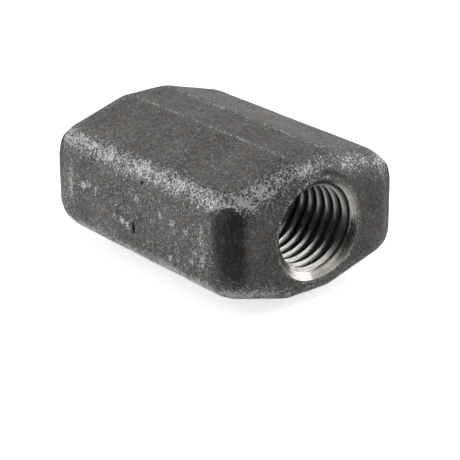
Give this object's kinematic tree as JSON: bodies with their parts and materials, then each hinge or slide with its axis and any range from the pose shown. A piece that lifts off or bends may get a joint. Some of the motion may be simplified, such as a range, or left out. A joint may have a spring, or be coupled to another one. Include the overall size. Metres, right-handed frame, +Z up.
{
  "type": "adjusting nut",
  "caption": "Forged steel adjusting nut: an oblong block with flat sides, low ridged crowns, rounded ends and a threaded hole through its length.",
  "frame": {"origin": "on the axis of the threaded hole, half way along the block", "axes": "+X along the threaded hole, +Y across the flat sides, +Z up through the top crown"},
  "size_m": [0.06, 0.0454, 0.03],
  "materials": {
    "forged_steel": "dark forging scale, worn to bare steel along the edges, with the hole and its countersinks machined bright"
  },
  "bodies": {
    "root": {"nut_body": "forged_steel"}
  },
  "joints": []
}
